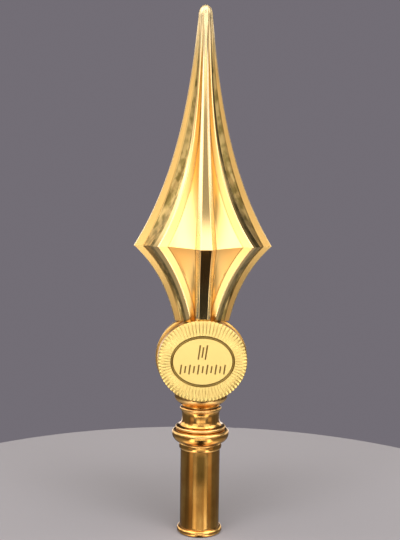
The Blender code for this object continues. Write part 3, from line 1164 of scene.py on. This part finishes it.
def card_light(across, forward, up):
    """How brightly the studio shines from a direction, before the flanks dim it."""
    side, facing = across.size(), forward.size()
    low_front = up.band(-0.25, -0.20, 0.00, 0.08) * side.below(0.35, 0.50)
    high_front = up.band(0.14, 0.22, 0.36, 0.47) * side.below(0.35, 0.50)
    fronts = high_front * forward.between(0.5, 0.7) + low_front * facing.between(0.5, 0.7)
    apron = up.band(-0.54, -0.48, -0.38, -0.34) * side.below(0.35, 0.50)
    apron = apron * forward.between(0.60, 0.75)
    shoulders = up.between(0.10, 0.20) * side.band(0.38, 0.50, 0.70, 0.76)
    shoulders = shoulders * forward.between(0.40, 0.50)
    wings = up.between(0.32, 0.50) * side.between(0.25, 0.35) * forward.between(-0.3, 0.0)
    crown = up.between(0.74, 0.82) * forward.between(-0.2, 0.2)
    knees = up.band(-0.88, -0.78, -0.42, -0.28) * side.band(0.34, 0.42, 0.58, 0.66)
    knees = knees * forward.between(0.32, 0.42)
    gap = (1 - fronts) * (1 - apron) * (1 - shoulders) * (1 - wings) * (1 - crown) * (1 - knees)

    ground = up.below(-0.85, -0.60) * side.between(0.14, 0.26) * forward.between(-0.3, -0.1)
    left_wall = (0 - across).between(0.50, 0.65) * forward.below(-0.1, 0.3)
    left_wall = left_wall * up.between(0.15, 0.30)
    behind = side.between(0.4, 0.6) * forward.below(-0.5, -0.3) * up.band(0.0, 0.06, 0.26, 0.36)
    brow = up.between(0.40, 0.50) * side.below(0.25, 0.35) * forward.between(0.2, 0.4)

    haze = 0.03 + side.between(0.1, 0.5) * (0.32 - up.between(-0.50, -0.38) * 0.2)
    light = haze + (1 - gap) * (CARD + wings * up.between(0.6, 0.85) * WING_TOP)
    light = light + knees * KNEE + brow * BROW
    return light + ground * GROUND + left_wall * WALL + behind * BEHIND


# %% [markdown]
# The flanks are what the outer flats of the side ribs mirror. They are dimmer and warmer than
# the cards, with a brighter strip at the hips, below the belt. The ground glows warm too. The
# camera itself sees a plain grey backdrop instead of the cards.

# %% Colour the surroundings
white_card = (1.0, 0.96, 0.90, 1)
warm_flank = (1.0, 0.74, 0.50, 1)
warm_ground = (1.0, 0.72, 0.50, 1)
backdrop_grey = (0.17, 0.155, 0.18, 1)


def colour_surroundings():
    world = bpy.data.worlds.new("studio")
    bpy.context.scene.world = world
    world.use_nodes = True
    room = Shades(world.node_tree)
    way = room.node("ShaderNodeTexCoord", {}, {}, "Generated")
    across = room.node("ShaderNodeSeparateXYZ", {}, {"Vector": way}, "X")
    forward = 0 - room.node("ShaderNodeSeparateXYZ", {}, {"Vector": way}, "Y")
    up = room.node("ShaderNodeSeparateXYZ", {}, {"Vector": way}, "Z")
    side = across.size()

    flank = (side - up.between(-0.1, 0.1) * 0.05).between(0.64, 0.70)
    flank = flank * forward.between(0.25, 0.40) * up.between(-0.70, -0.20)
    hips = up.band(-0.34, -0.27, -0.20, -0.10) * side.below(0.86, 0.94)
    flank_light = 0.20 + up.between(0.0, 0.3) * 0.38 + hips * 0.5
    light = card_light(across, forward, up) * (1 - flank) + flank * flank_light
    warmth = room.mix(flank, white_card, warm_flank)
    glow = room.mix(up.between(-0.95, -0.75), warm_ground, warmth)
    seen = room.node("ShaderNodeLightPath", {}, {}, "Is Camera Ray")
    background = world.node_tree.nodes["Background"]
    room.feed(background.inputs["Color"], room.mix(seen, glow, backdrop_grey))
    room.feed(background.inputs["Strength"], seen + (1 - seen) * light)


colour_surroundings()
bpy.context.scene.view_settings.view_transform = "Standard"

# %% [markdown]
# The camera stands a little left of the front and looks down a touch, at the photograph's
# angle. A small roll matches the way the finial leans in the picture.

# %% Place the camera
camera_data = bpy.data.cameras.new("camera")
camera_data.lens = 63.4
camera = bpy.data.objects.new("camera", camera_data)
bpy.context.scene.collection.objects.link(camera)
bpy.context.scene.camera = camera
camera_bearing = math.radians(3.0)
camera_distance, camera_height = 0.682, 0.2545
camera.location = (-camera_distance * math.sin(camera_bearing),
                   -camera_distance * math.cos(camera_bearing), camera_height)
heading, tilt, roll = math.radians(-2.85), math.radians(84.83), math.radians(0.73)
aim = Matrix.Rotation(heading, 3, "Z") @ Matrix.Rotation(tilt, 3, "X")
camera.rotation_euler = (aim @ Matrix.Rotation(roll, 3, "Z")).to_euler()
print("camera at", [round(c, 3) for c in camera.location])

# %% [markdown]
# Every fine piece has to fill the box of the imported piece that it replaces, and no more. The
# two outer boxes are written down side by side, and the differences should all be zero.

# %% Compare the boxes and finish
visual_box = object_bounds()
for corner, (ours, packed) in enumerate(zip(visual_box, cad_box)):
    print("corner", corner, "differs by", [round(c / MM, 2) for c in ours - packed], "mm")
